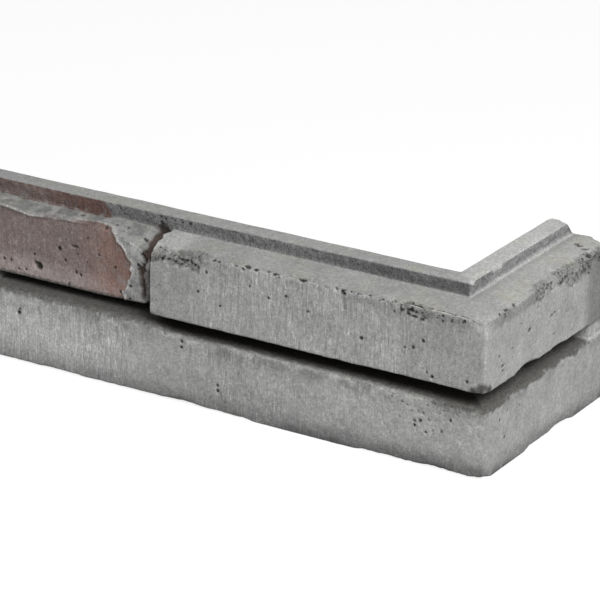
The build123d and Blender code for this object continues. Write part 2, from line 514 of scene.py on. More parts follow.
    def _reds(self, tree: Tree, mm: Socket, tone: Socket) -> Socket:
        """Tints the end brick's face and the plate with iron oxide, and rims the face with pale lime.

        Args:
            tree: The material's node tree.
            mm: Place in mm.
            tone: The colour so far.

        Returns:
            The colour with them.
        """
        ragged = self._math(tree, "MULTIPLY_ADD", self._noise(tree, mm, 3, 4, 0.65), 2.4, -1.2)
        red_mm = self._mask(tree, Mask.RED)
        inside = self._math(tree, "ADD", red_mm, ragged)
        rim = self._math(tree, "MULTIPLY", self._between(tree, inside, -2.6, -1.2), 0.55)
        tone = self._mix(tree, rim, tone, self.pale)
        warm = self._between(tree, self._noise(tree, mm, 9, 4, 0.6), 0.3, 0.56)
        warm = self._math(tree, "MULTIPLY", warm, self._mask(tree, Mask.WARM))
        dust = self._between(tree, self._noise(tree, mm, 3.5, 5, 0.7), 0.46, 0.72)
        dust = self._math(tree, "MAXIMUM", dust, self._mask(tree, Mask.DUST))
        red = self._mix(tree, dust, self.red, self.red_light)
        red = self._mix(tree, self._share(tree, warm, 0.7), red, self.red_orange)
        tone = self._mix(tree, self._between(tree, inside, -0.7, 0.5), tone, red)
        stain_mm = self._mask(tree, Mask.STAIN)
        stained = self._math(tree, "ADD", stain_mm, ragged)
        patchy = self._between(tree, self._noise(tree, mm, 7, 4, 0.6), 0.28, 0.5)
        deep = self._between(tree, stain_mm, 75, 20)
        stain = self._mix(tree, deep, self.stain, self.stain_dark)
        share = self._math(tree, "MULTIPLY", self._between(tree, stained, -1.5, 4.0), patchy)
        tone = self._mix(tree, self._share(tree, share, 0.9), tone, stain)
        return self._mix(tree, self._mask(tree, Mask.CREVICE), tone, self.brown)

    def _specks(self, tree: Tree, mm: Socket, tone: Socket) -> tuple[Socket, Socket]:
        """Makes the small air bubbles, mouths about 1 mm wide in cells of 3.5 mm, and cavities, all darkened
        with painted shade.

        Args:
            tree: The material's node tree.
            mm: Place in mm.
            tone: The colour so far.

        Returns:
            The colour with them, and their height.
        """
        warp = self._noise(tree, mm, 2.0, 2, 0.5)
        bent = add_node(tree, "VectorMath", {0: mm, 1: warp}, operation="ADD").outputs[0]
        cells = add_node(tree, "TexVoronoi", {"Vector": bent, "Scale": 1 / 3.5, "Randomness": 1.0})
        chance = add_node(tree, "SeparateColor", {0: cells.outputs["Color"]}).outputs[0]
        size = self._math(tree, "SUBTRACT", self._mask(tree, Mask.POROUS), chance)
        size = self._math(tree, "MULTIPLY", self._between(tree, size, -0.05, 0.5), 0.28)
        depth = self._math(tree, "SUBTRACT", size, cells.outputs["Distance"])
        mouth = self._between(tree, depth, 0.0, 0.06)
        cavities = self._between(tree, self._noise(tree, mm, 1.9, 4, 0.6), 0.56, 0.68)
        gritty = self._between(tree, self._mask(tree, Mask.POROUS), 0.5, 0.95)
        cavities = self._share(tree, self._math(tree, "MULTIPLY", cavities, gritty), 0.75)
        mouth = self._math(tree, "MAXIMUM", mouth, cavities)
        hole = self._math(tree, "MAXIMUM", mouth, self._mask(tree, Mask.PIT))
        height = self._math(tree, "MULTIPLY", mouth, -1.0)
        # Pit mouths and cavities are darkened with painted shade
        return self._mix(tree, self._share(tree, hole, 0.92), tone, self.painted_shade), height

    def _dirt_and_shade(self, tree: Tree, mm: Socket, tone: Socket) -> Socket:
        """Darkens the bed joint with dirt, whose edge is soft and smudged, and deep in it with painted shade,
        to near black.

        Args:
            tree: The material's node tree.
            mm: Place in mm.
            tone: The colour so far.

        Returns:
            The colour with it.
        """
        ragged = self._math(tree, "MULTIPLY_ADD", self._noise(tree, mm, 3.2, 4, 0.65), 9.0, -4.5)
        inside = self._math(tree, "ADD", self._mask(tree, Mask.DIRT_AND_SHADE), ragged)
        mottled = self._between(tree, self._noise(tree, mm, 1.7, 4, 0.7), 0.4, 0.62)
        dirt = self._mix(tree, mottled, self.dirt, self.dirt_light)
        smudged = self._share(tree, self._between(tree, inside, -4.5, 2.6), 0.97)
        tone = self._mix(tree, smudged, tone, dirt)
        # Deep in the joint the colour is painted shade, near black
        return self._mix(tree, self._between(tree, inside, 3.0, 8.0), tone, self.joint_painted_shade)

    def _flake(self, tree: Tree, mm: Socket, tone: Socket) -> Socket:
        """Draws the flaking arris: a broken crack darkened with painted shadow of the flaked step, with pale
        fresh gypsum below it.

        Args:
            tree: The material's node tree.
            mm: Place in mm.
            tone: The colour so far.

        Returns:
            The colour with it.
        """
        ragged = self._math(tree, "MULTIPLY_ADD", self._noise(tree, mm, 3.5, 3, 0.6), 4.0, -2.0)
        below = self._math(tree, "ADD", self._mask(tree, Mask.FLAKE), ragged)
        flaking = self._mask(tree, Mask.FLAKING)
        fresh = self._math(
            tree, "MULTIPLY", self._between(tree, below, 0.1, 0.5), self._between(tree, below, 2.2, 1.0)
        )
        fresh = self._math(tree, "MULTIPLY", fresh, self._share(tree, flaking, 0.7))
        tone = self._mix(tree, fresh, tone, self.pale)
        # The crack's dark line is painted shadow under the flaked step
        crack = self._between(tree, self._math(tree, "ABSOLUTE", below), 0.8, 0.3)
        broken = self._between(tree, self._noise(tree, mm, 6, 2, 0.5), 0.4, 0.48)
        crack = self._math(tree, "MULTIPLY", crack, flaking)
        return self._mix(tree, self._math(tree, "MULTIPLY", crack, broken), tone, self.painted_shade)


@dataclass
class Surface:
    """The points of the casting's mesh, in mm, and where each one lies on the casting.

    Attributes:
        points: Places in the CAD frame, one a row.
        normals: Directions that the surface faces there.
        edges: Pairs of joined points.
        u: Distances from the outer corner along the long arm.
        v: Distances from the outer corner along the short arm.
        z: Heights.
    """

    points: np.ndarray
    normals: np.ndarray
    edges: np.ndarray
    u: np.ndarray
    v: np.ndarray
    z: np.ndarray

    @classmethod
    def read(cls, mesh: bpy.types.Mesh, corner: tuple[float, float]) -> Surface:
        """Reads a mesh.

        Args:
            mesh: Mesh in metres.
            corner: Outer corner of the casting, as x and y in mm.

        Returns:
            Its surface.
        """
        flat = np.empty(len(mesh.vertices) * 3)
        mesh.vertices.foreach_get("co", flat)
        points = flat.reshape(-1, 3) / MM
        flat = np.empty(len(mesh.vertices) * 3)
        mesh.vertices.foreach_get("normal", flat)
        pairs = np.empty(len(mesh.edges) * 2, dtype=np.int32)
        mesh.edges.foreach_get("vertices", pairs)
        u, v = corner[0] - points[:, 0], points[:, 1] - corner[1]
        return cls(points, flat.reshape(-1, 3), pairs.reshape(-1, 2), u, v, points[:, 2])

    @property
    def depth(self) -> np.ndarray:
        """How far each point lies behind the nearer of the lower course's faces."""
        return np.minimum(self.u, self.v)

    @property
    def short(self) -> np.ndarray:
        """Whether each point is on the short arm."""
        return self.v > self.u

    @property
    def long(self) -> np.ndarray:
        """Whether each point is on the long arm."""
        return ~self.short

    @property
    def from_edge(self) -> np.ndarray:
        """How far each point lies from the outer upright edge, along its own arm."""
        return np.maximum(self.u, self.v)

    @property
    def front(self) -> np.ndarray:
        """How much each point faces as the long arm's bricks do, from 0 to 1."""
        return ramp(0.4, 0.8, -self.normals[:, 1])

    @property
    def side(self) -> np.ndarray:
        """How much each point faces as the short arm's bricks do, from 0 to 1."""
        return ramp(0.4, 0.8, self.normals[:, 0])

    @property
    def up(self) -> np.ndarray:
        """How much each point faces up, from 0 to 1."""
        return ramp(0.4, 0.8, self.normals[:, 2])

    @property
    def back(self) -> np.ndarray:
        """Whether each point is on the back, which the wall hides."""
        turned = np.maximum(self.normals[:, 1], -self.normals[:, 0]) > 0.6
        return turned & (self.depth > 38) & (self.v < 170) & (self.u < 403)

    def relaxed(self, points: np.ndarray, rounds: int) -> np.ndarray:
        """Smooths points along the surface's edges.

        Args:
            points: Points, one a row.
            rounds: How often each point moves halfway to its neighbours' middle.

        Returns:
            The smoothed points.
        """
        first, second = self.edges[:, 0], self.edges[:, 1]
        total = len(points)
        joined = np.bincount(self.edges.ravel(), minlength=total)
        for _ in range(rounds):
            middle = np.empty_like(points)
            for axis in range(3):
                column = points[:, axis]
                middle[:, axis] = np.bincount(first, column[second], total)
                middle[:, axis] += np.bincount(second, column[first], total)
            points = (points + middle / joined[:, None]) / 2
        return points

    def inside(self, centre: tuple[float, float, float], radius: float, wide: float = 1.0) -> np.ndarray:
        """Measures how far inside a ball each point lies.

        Args:
            centre: The ball's centre, as u, v and z.
            radius: Its radius.
            wide: How much wider than high it is.

        Returns:
            1 at the centre, 0 at the ball's surface and below 0 outside.
        """
        across = np.hypot(self.u - centre[0], self.v - centre[1]) / wide
        return 1 - np.hypot(across, self.z - centre[2]) / radius


@dataclass
class CornerCasting:
    """The casting itself: the CAD solid's shape, remeshed and then worn, chipped, pitted and dressed.

    Attributes:
        corner: Outer corner of the casting in the CAD frame, as x and y.
        course_top: Height of the lower course.
        bed_top: Height of the lower course under the end brick.
        joint_top: Height where the upper course starts.
        end_bottom: Height where the end brick starts.
        brick_top: Height of the upper course's top.
        plate_top: Height of the plate's top.
        brick_end: Distance along the long arm to the corner brick's end.
        red_start: Distance along the long arm to the end brick.
        stain_start: Distance along the long arm to the stain on the plate.
        plate_front: Depth of the plate's front from the lower faces.
        plate_end: Distance along the short arm to the plate's end.
        upper_face: Depth of the corner brick's faces.
        red_face: Depth of the end brick's face.
        red_side: The red area's side by the crevice, as heights and distances along the long arm.
        red_top: The red area's top, as distances along the long arm and heights.
        smudges: Balls of dirt on the corner brick's lower corner, as their centres and radii.
        voxel: Size of the cells that it is remeshed with.
        triangles: The most triangles that it may have.
        pits: The pits that are listed one by one.
        rows: The rows of scattered pits.
        gullies: The grooves.
    """

    corner: tuple[float, float] = (202.5, -86.0)
    course_top: float = 47
    bed_top: float = 50.5
    joint_top: float = 55
    end_bottom: float = 57
    brick_top: float = 104
    plate_top: float = 115
    brick_end: float = 249
    red_start: float = 252.5
    stain_start: float = 292
    plate_front: float = 29
    plate_end: float = 171
    upper_face: float = 2
    red_face: float = 12
    red_side: Line = (
        (54, 277), (63, 275), (70, 271), (77, 269), (87, 272), (94, 278), (102, 286), (105, 293),
    )
    red_top: Line = (
        (268, 102), (283, 106), (297, 106), (308, 104), (325, 102), (333, 101.5), (351, 99), (367, 101.5),
        (405, 103),
    )
    smudges: tuple[tuple[tuple[float, float, float], float], ...] = (
        ((10, 2.5, 57), 2.6),
        ((4.3, 3, 59.3), 3.4),
        ((1.5, 7.8, 57.8), 3.0),
    )
    voxel: float = 0.75
    triangles: int = 192000
    pits: list[Pit] = field(default_factory=list)
    rows: list[PitRow] = field(default_factory=list)
    gullies: list[Gully] = field(default_factory=list)

    def build(self, node: bpy.types.Object, finish: CastGypsum) -> bpy.types.Object:
        """Builds the dressed casting in place of the CAD node.

        Args:
            node: The CAD node's object.
            finish: The casting's finish.

        Returns:
            The dressed casting.
        """
        low, high = (np.array(corner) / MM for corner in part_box(NODE))
        fine = self._remesh(node)
        surface = Surface.read(fine, self.corner)
        grit = self._grit(surface)
        pit, hollow = self._pit_depths(surface)
        moved = self._worn(surface, grit)
        for gully in self.gullies:
            hollow = np.maximum(hollow, gully.sunk * gully.inside(surface))
        moved += surface.normals * (self._unevenness(surface, grit) - hollow)[:, None]
        moved = np.clip(moved, low, high)
        fine.vertices.foreach_set("co", (moved * MM).ravel())
        self._store(fine, self._masks(surface, grit, pit))
        mesh = self._thin(fine, pit)
        piece = bpy.data.objects.new("worn_casting", mesh)
        bpy.context.scene.collection.objects.link(piece)
        mesh.materials.clear()
        mesh.materials.append(finish.material())
        mesh.shade_smooth()
        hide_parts(NODE)
        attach(piece, "root")
        LOG.info("worn_casting: %d points remeshed, %d triangles", len(moved), len(mesh.polygons))
        return piece

    def _remesh(self, node: bpy.types.Object) -> bpy.types.Mesh:
        """Copies the CAD solid's shape as an even mesh of small faces.

        Args:
            node: The CAD node's object.

        Returns:
            The even mesh.
        """
        copy = bpy.data.objects.new("remeshing", node.data.copy())
        bpy.context.scene.collection.objects.link(copy)
        weld = copy.modifiers.new("weld", "WELD")
        weld.merge_threshold = 0.00001
        remesh = copy.modifiers.new("remesh", "REMESH")
        remesh.mode = "VOXEL"
        remesh.voxel_size = self.voxel * MM
        mesh = self._applied(copy)
        bpy.data.objects.remove(copy)
        return mesh

    def _applied(self, piece: bpy.types.Object) -> bpy.types.Mesh:
        """Makes a mesh of a piece as its modifiers leave it."""
        evaluated = piece.evaluated_get(bpy.context.evaluated_depsgraph_get())
        return bpy.data.meshes.new_from_object(evaluated)

    def _thin(self, fine: bpy.types.Mesh, pit: np.ndarray) -> bpy.types.Mesh:
        """Thins a mesh to the triangles allowed, most where it is flat and never in a pit.

        Args:
            fine: The full mesh.
            pit: How much each point is in a pit, from 0 to 1.

        Returns:
            The thinned mesh, all triangles.
        """
        copy = bpy.data.objects.new("thinning", fine)
        bpy.context.scene.collection.objects.link(copy)
        free = copy.vertex_groups.new(name="free")
        free.add(np.flatnonzero(pit < 0.15).tolist(), 1.0, "REPLACE")
        split = copy.modifiers.new("triangles", "TRIANGULATE")
        split.quad_method = "SHORTEST_DIAGONAL"
        thin = copy.modifiers.new("thin", "DECIMATE")
        thin.ratio = min(1.0, self.triangles / (2 * len(fine.polygons)))
        thin.vertex_group = "free"
        mesh = self._applied(copy)
        bpy.data.objects.remove(copy)
        return mesh

    def _grit(self, surface: Surface) -> np.ndarray:
        """Marks the arrises that have crumbled to grit, from 0 to 1.

        Args:
            surface: The casting's surface.

        Returns:
            The marks.
        """
        u, v, short, long = surface.u, surface.v, surface.short, surface.long
        ragged = 2.2 * Lumps(9, 21).at(surface.points) + 1.6 * Lumps(3.5, 22).at(surface.points)
        past_middle = short * ramp(60, 76, v)
        by_short_end = short * band(98, 118, 138, 150, v)
        by_crevice = long * ramp(203, 214, u)
        reach = 2.6 + 1.3 * past_middle + 3.2 * by_short_end + 3.6 * by_crevice
        drop = 0.6 * np.maximum(self.brick_top - surface.z, 0)
        behind_arris = surface.depth - self.upper_face - 1
        near_arris = ramp(1.6, -0.8, np.hypot(drop, behind_arris) + ragged - reach)
        on_short = short * (0.35 * ramp(16, 26, v) + 0.65 * ramp(60, 74, v)) * ramp(168, 158, v)
        sounder = band(88, 92, 96, 100, v)
        on_long = long * (u < self.brick_end)
        on_long = on_long * (0.25 + 0.6 * band(40, 46, 60, 66, u) + 0.75 * ramp(200, 212, u))
        strength = np.clip(on_short * (1 - 0.5 * sounder) + on_long, 0, 1)
        return near_arris * strength * (surface.depth < self.plate_front - 4)

    def _worn(self, surface: Surface, grit: np.ndarray) -> np.ndarray:
        """Wears the sharp edges: each point falls back to smoothed copies of the shape, more in some places.

        Args:
            surface: The casting's surface.
            grit: Where the arrises have crumbled.

        Returns:
            The worn points.
        """
        points, normals, z = surface.points, surface.normals, surface.z
        soft = surface.relaxed(points, 24)
        rounded = surface.relaxed(soft, 90)
        blunt = surface.relaxed(rounded, 200)
        top = ramp(self.brick_top - 8, self.brick_top - 3, z) * (surface.depth < 16)
        lip = band(-7, -3, 2, 5, z - self.course_top)
        roof = band(-3, -1, 3, 7, z - self.joint_top)
        foot = ramp(9, 4, z)
        post = ramp(20, 9, surface.from_edge)
        crisp = ramp(-10, -5, surface.u - self.brick_end) * (z > self.joint_top) * (z < self.brick_top + 3)
        chip = ramp(0.30, 0.62, Lumps(11, 2).at(points) + 0.35 * Lumps(3.4, 3).at(points))
        full = self._full_foot(surface)
        short_top = top * surface.short
        short_tip = ramp(146, 156, surface.v)
        nibble = 0.35 + 0.5 * Lumps(5, 1).at(points) + 0.4 * short_top + 0.5 * lip - 0.25 * roof
        crumble = 0.7 * chip * (1 - roof) * (1 - foot) + 0.7 * grit + 0.25 * foot * chip * surface.long
        crumble = np.maximum(crumble, 0.85 * short_top * (1 - 0.6 * short_tip)) * (1 - full)
        moved = points.copy()
        for copy, share in (
            (soft, nibble * (1 - full) * (1 - 0.6 * roof) * (1 - crisp)),
            (rounded, np.maximum(crumble * (1 - crisp), top * post)),
            (blunt, top * post),
        ):
            inward = np.minimum(np.sum((copy - points) * normals, axis=1), 0)
            pull = np.sum((moved - points) * normals, axis=1)
            moved += normals * np.minimum(np.clip(share, 0, 1) * inward - pull, 0)[:, None]
        moved = self._plate_worn(surface, self._knocked(surface, moved))
        kept = surface.depth > self.plate_front + 13
        moved[kept] = points[kept]
        return moved

    def _knocked(self, surface: Surface, moved: np.ndarray) -> np.ndarray:
        """Knocks the courses' outer corners inwards, the top one most, and blunts the upright edge.

        Args:
            surface: The casting's surface.
            moved: Its worn points.

        Returns:
            The knocked points.
        """
        for height, reach, inward, up in (
            (self.brick_top, 17, 1.4, -3.0),
            (self.joint_top, 9, 0.8, 0.8),
            (self.course_top, 8, 0.8, -0.8),
            (0, 12, 1.0, 0.0),
        ):
            away = np.sqrt(surface.u**2 + surface.v**2 + (surface.z - height) ** 2)
            moved = moved + ramp(reach, 1, away)[:, None] * np.array([-inward, inward, up])
        upright = ramp(11, 6, surface.from_edge)[:, None]
        return moved + upright * (surface.relaxed(moved, 26) - moved)

    def _plate_worn(self, surface: Surface, moved: np.ndarray) -> np.ndarray:
        """Bites the plate's front top edge on the short arm, and rounds its end there, which leans back.

        Args:
            surface: The casting's surface.
            moved: Its worn points.

        Returns:
            The points with the plate worn too.
        """
        v, z, depth = surface.v, surface.z, surface.depth
        front_edge = ramp(self.plate_top - 3, self.plate_top - 1, z) * surface.short
        front_edge *= ramp(self.plate_front + 4.5, self.plate_front + 1.5, depth)
        bitten = band(28, 34, 70, 82, v) * ramp(0.0, 0.4, Lumps(4.5, 23).at(surface.points))
        above = ramp(self.brick_top, self.brick_top + 2.5, z) * (depth > self.plate_front - 2)
        above *= np.clip((z - self.brick_top) / (self.plate_top - self.brick_top), 0, 1)
        tip = ramp(12, 0, np.hypot(surface.u - self.plate_front, v - self.plate_end)) * above
        moved = moved + tip[:, None] * np.array([-2.6, -3.2, -1.6])
        moved[:, 1] -= 2.6 * ramp(self.plate_end - 13, self.plate_end, v) * above
        moved[:, 2] -= 2.2 * front_edge * bitten
        return moved

    def _full_foot(self, surface: Surface) -> np.ndarray:
        """Marks where the foot's edge is full and unworn, from 0 to 1.

        Args:
            surface: The casting's surface.

        Returns:
            The marks.
        """
        on_short = surface.short * np.maximum(ramp(64, 52, surface.v), ramp(114, 122, surface.v))
        on_long = surface.long * band(84, 96, 164, 176, surface.u)
        edge = ramp(7, 4, surface.z) * (surface.depth < 10) * ramp(4, 12, surface.from_edge)
        return (on_short + on_long) * edge

    def _unevenness(self, surface: Surface, grit: np.ndarray) -> np.ndarray:
        """Measures how far each point stands off a perfect casting.

        Args:
            surface: The casting's surface.
            grit: Where the arrises have crumbled.

        Returns:
            Heights along the normals, in mm.
        """
        points, u, z = surface.points, surface.u, surface.z
        shown = ramp(self.plate_front + 14, self.plate_front + 12, surface.depth)
        height = 0.22 * Lumps(48, 5).at(points) + 0.14 * Lumps(13, 6).at(points) - 0.25
        height += shown * (0.12 * Lumps(5, 7).at(points) + 0.07 * Lumps(2.6, 8).at(points))
        height += self._sand(surface) * (0.35 * Lumps(2.4, 9).at(points) + 0.2 * Lumps(4.5, 10).at(points))
        height -= grit * (0.6 + 0.9 * Lumps(2.6, 24).at(points) + 0.6 * Lumps(5.2, 25).at(points))
        height += 1.3 * self._full_foot(surface)
        # The end brick's underside sags a little
        underside = (z > self.bed_top + 2) * (z < self.end_bottom + 2) * ramp(258, 300, u)
        height += 1.3 * underside * ramp(0.3, 0.9, -surface.normals[:, 2])
        # The lower course is rougher near the corner
        near_corner = (z < self.course_top) * ramp(170, 90, u) * surface.long
        height += near_corner * (0.16 * Lumps(3.2, 34).at(points) + 0.1 * Lumps(1.9, 35).at(points))
        # The end brick's red face lies under a lumpy crust with a raised lip
        red = self._red_inside(surface)
        crust = (u > self.red_start) * (z > self.end_bottom + 2) * (surface.depth < self.plate_front - 1)
        crust = crust * ramp(0.5, -1, red)
        height += crust * (0.5 * Lumps(6, 29).at(points) + 0.45 * Lumps(3, 30).at(points))
        height += 0.5 * band(-3.2, -1.4, -0.4, 0.4, red)
        return height - 0.9 * ramp(-0.6, 0.8, red)

    def _pit_depths(self, surface: Surface) -> tuple[np.ndarray, np.ndarray]:
        """Opens the pits.

        Args:
            surface: The casting's surface.

        Returns:
            How much each point is in a pit, from 0 to 1, and how deep it sinks, in mm.
        """
        pit = np.zeros(len(surface.z))
        hollow = np.zeros(len(surface.z))
        every = list(self.pits)
        for row in self.rows:
            every.extend(row.pits())
        for one in every:
            far = 2 * one.radius * one.wide
            box = (np.abs(surface.u - one.u) < far) & (np.abs(surface.v - one.v) < far + 1)
            near = np.flatnonzero(box & (np.abs(surface.z - one.z) < 9))
            stretch = one.wide**0.5
            across = np.hypot(surface.u[near] - one.u, surface.v[near] - one.v) / (one.radius * stretch)
            reach = np.hypot(across, (surface.z[near] - one.z) / one.radius * stretch)
            reach = reach + 0.4 * Lumps(1.3 * one.radius, 31).at(surface.points[near])
            pit[near] = np.maximum(pit[near], one.dark * ramp(1.25, 0.7, reach))
            hollow[near] = np.maximum(hollow[near], 1.1 * one.radius * ramp(1.3, 0.3, reach))
        return pit, hollow

    def _sand(self, surface: Surface) -> np.ndarray:
        """Marks the plate's sandy front above the bricks, from 0 to 1.

        Args:
            surface: The casting's surface.

        Returns:
            The marks.
        """
        start = self.brick_top + 0.6 - 1.2 * surface.short
        above = ramp(start, start + 2.0 + 5.0 * surface.short, surface.z)
        level = ramp(self.plate_front - 2.5, self.plate_front - 0.5, surface.depth)
        level = level * (surface.depth < self.plate_front + 1.5)
        return above * np.maximum(level, surface.v > 165) * (1 - surface.up)

    def _masks(self, surface: Surface, grit: np.ndarray, pit: np.ndarray) -> dict[Mask, np.ndarray]:
        """Works out what the finish reads at each point.

        Args:
            surface: The casting's surface.
            grit: Where the arrises have crumbled.
            pit: Where the pits are.

        Returns:
            The values of each mask.
        """
        u, z = surface.u, surface.z
        sand = self._sand(surface)
        red = self._red_inside(surface)
        face = np.clip(surface.front + surface.side, 0, 1) * (1 - sand)
        brushed = band(30, 80, 190, 236, u) + ramp(250, 270, u)
        brushed *= 1 - 0.75 * (z < self.course_top) * ramp(170, 110, u)
        streaked = 0.35 + 0.85 * surface.long * brushed + 0.3 * Lumps(30, 11).at(surface.points)
        streaked = np.where(red > 0, 0.7, streaked)
        return {
            Mask.RED: red,
            Mask.STAIN: self._stain_inside(surface),
            Mask.PLATE: sand,
            Mask.DIRT_AND_SHADE: self._dirt_and_shade_inside(surface),
            Mask.CREVICE: self._crevice(surface),
            Mask.FLAKE: self._flake_below(surface),
            Mask.FLAKING: band(9, 14, 56, 64, u) * (z > self.joint_top + 30),
            Mask.PIT: pit,
            Mask.POROUS: np.clip(0.14 + 0.75 * grit + 0.16 * (red > 1), 0, 1),
            Mask.PALE_AND_HIGHLIGHT: self._pale_and_highlight(surface),
            Mask.STREAK: face * streaked,
            Mask.LEDGE: surface.up,
            Mask.DUST: ramp(74, 62, z + 6 * Lumps(12, 32).at(surface.points)),
            Mask.WARM: ramp(320, 284, u),
            Mask.TONE_AND_PAINTED_LIGHT: self._tone_and_painted_light(surface, grit),
        }

    def _store(self, mesh: bpy.types.Mesh, masks: dict[Mask, np.ndarray]) -> None:
        """Stores the masks on a mesh's points."""
        for mask, values in masks.items():
            layer = mesh.attributes.new(mask.value, "FLOAT", "POINT")
            layer.data.foreach_set("value", values.astype(np.float32))
        mesh.update()

    def _red_inside(self, surface: Surface) -> np.ndarray:
        """Measures how far inside the red area of the end brick's face each point lies.

        The area's top follows the brick's worn arris, and its side is scalloped where the pigment ran out.

        Args:
            surface: The casting's surface.

        Returns:
            Distances in mm, below 0 outside the area.
        """
        u, z = surface.u, surface.z
        scallop = 2.0 * np.abs(np.sin((z - 2) * pi / 8.5)) - 1.0 + 0.9 * Lumps(3.5, 13).at(surface.points)
        side = np.interp(z, *zip(*self.red_side))
        top = np.interp(u, *zip(*self.red_top))
        inside = np.minimum(u - side + scallop, top - z + 0.5 * Lumps(8, 12).at(surface.points))
        # By its side the red runs over the worn arris onto the top
        inside = np.minimum(inside, self.red_face + 5.5 - surface.v)
        on_brick = (surface.v < self.red_face + 8) & (z > self.end_bottom - 0.5) & (u > self.red_start)
        return np.where(on_brick & (surface.normals[:, 1] < -0.05), inside, OUTSIDE)

    def _stain_inside(self, surface: Surface) -> np.ndarray:
        """Measures how far inside the red-brown stain on the plate's front each point lies, in mm.

        Args:
            surface: The casting's surface.

        Returns:
            The distances, less than 0 outside.
        """
        level = np.minimum(surface.z - (self.brick_top + 0.5), self.plate_top - 1.0 - surface.z)
        on_plate = np.where(np.abs(surface.v - self.plate_front) < 2.5, 90.0, OUTSIDE)
        along = surface.u - self.stain_start - 0.85 * (surface.z - self.brick_top)
        near_end = np.minimum(along, 6 * (level + 0.5))
        return np.minimum(np.where(level > 0, along, near_end), on_plate)

    def _dirt_and_shade_inside(self, surface: Surface) -> np.ndarray:
        """Measures how far inside the bed joint's dirt and its painted shade each point lies, in mm.

        The dirt runs out over the lower course's arris, and stops at the joint's closed ends.

        Args:
            surface: The casting's surface.

        Returns:
            The distances, less than 0 outside.
        """
        u, z, short = surface.u, surface.z, surface.short
        under_end = surface.long * ramp(self.brick_end - 12, self.brick_end + 2, u)
        by_corner = surface.long * (3.4 * ramp(46, 28, u) + 1.2 * ramp(120, 60, u))
        start = self.course_top + 1.4 - 4.0 * short + under_end * (self.bed_top - self.course_top - 3)
        start = start - by_corner
        stop = self.joint_top + 0.3 + under_end * (self.end_bottom - self.joint_top)
        # The distance grows with depth into the joint, where the finish paints shade
        deeper_shade = np.where(short, 0.16, 0.8 - 0.6 * under_end) * np.maximum(surface.depth - 1.5, 0)
        inside = np.minimum(z - start + deeper_shade, 3 * (stop - z))
        # On the short arm the dirt is ragged, and its painted shade never quite black
        inside += short * (1.6 * Lumps(7, 26).at(surface.points) + 1.2 * Lumps(3, 36).at(surface.points))
        inside = np.where(short, np.minimum(2.5 * inside, 2.8), inside)
        inside -= 9 * np.maximum(short * ramp(136, 148, surface.v), ramp(372, 380, u))
        for centre, radius in self.smudges:
            inside = np.maximum(inside, 9 * surface.inside(centre, radius))
        return np.where(surface.depth > self.plate_front + 1, OUTSIDE, inside)

    def _crevice(self, surface: Surface) -> np.ndarray:
        """Marks the brown crevice beside the corner brick and the brown gullies, from 0 to 1.

        Args:
            surface: The casting's surface.

        Returns:
            The marks.
        """
        beside = band(-0.5, 0.5, 3, 6, surface.u - self.brick_end)
        behind = ramp(self.red_face - 1, self.red_face + 2, surface.v)
        brown = beside * behind * ramp(self.end_bottom, self.end_bottom + 3, surface.z)
        for gully in self.gullies:
            brown = np.maximum(brown, gully.brown * gully.inside(surface))
        past_brick = (surface.u > self.brick_end - 0.5) * (surface.z < self.brick_top + 1)
        return brown * past_brick * ~surface.back

    def _flake_below(self, surface: Surface) -> np.ndarray:
        """Measures how far below the crack along the flaking arris by the corner each point lies, in mm."""
        across = surface.v - self.upper_face - (self.brick_top - surface.z)
        return 1.6 - across + 1.2 * Lumps(16, 27).at(surface.points)

    def _pale_and_highlight(self, surface: Surface) -> np.ndarray:
        """Marks the pale places: painted highlights on the outer edge and the corner brick's end, and the end
        brick's pale foot.

        Args:
            surface: The casting's surface.

        Returns:
            The marks, from 0 to 1.
        """
        u, v, z = surface.u, surface.v, surface.z
        # Painted highlights along the outer upright edge and the corner brick's end by the crevice
        edge = 0.25 * ramp(3.4, 1.6, surface.from_edge) * band(58, 64, 94, 100, z)
        end = 0.6 * ramp(1.6, 0.6, np.abs(u - self.brick_end + 1)) * (v < 20) * (z > 62)
        foot = 0.7 * (u > self.red_start) * (v < 16) * ramp(self.end_bottom + 3.5, self.end_bottom + 1.5, z)
        foot *= (z > self.end_bottom - 2) * ramp(284, 276, u)
        return np.maximum(np.maximum(edge, end), foot)

    def _tone_and_painted_light(self, surface: Surface, grit: np.ndarray) -> np.ndarray:
        """Works out how much darker or lighter than plain grey each point is, as a factor on its colour, from
        tones of its own and painted shade and light.

        Args:
            surface: The casting's surface.
            grit: Where the arrises have crumbled.

        Returns:
            The factors, 1 where the grey stays.
        """
        points = surface.points
        blotches = ramp(-0.25, 0.45, Lumps(9, 37).at(points) + 0.5 * Lumps(4, 38).at(points))
        clouds = (Lumps(14, 39).at(points) + Lumps(7, 40).at(points)) * (1 - surface.up)
        red_foot = ramp(74, 62, surface.z) * ramp(-1, 1, self._red_inside(surface))
        tone = (1 - 0.36 * grit) * (1 + 0.06 * clouds) * (1 + 0.18 * red_foot)
        tone *= self._lower_tone(surface, blotches)
        tone *= self._upper_tone(surface)
        tone *= self._top_tone(surface, blotches)
        return np.where(surface.back, 1.0, tone)

    def _lower_tone(self, surface: Surface, blotches: np.ndarray) -> np.ndarray:
        """Works out the lower course's tones: darker at its foot with painted shade, blotchy at its top and
        paler far along.

        Args:
            surface: The casting's surface.
            blotches: Where it is blotched.

        Returns:
            The factors.
        """
        u, z, long = surface.u, surface.z, surface.long
        lower = (z < self.course_top + 1) * (1 - surface.up)
        foot = ramp(14, 3, z + 1.5 * Lumps(12, 28).at(surface.points))
        near_corner = long * ramp(170, 90, u)
        far_along = ramp(220, 330, u)
        middle = band(14, 22, 32, 42, z)
        near_top = ramp(34, 44, z)
        # Darker along the outer upright edge
        darker_by_edge = ramp(3.5, 1.0, surface.from_edge)
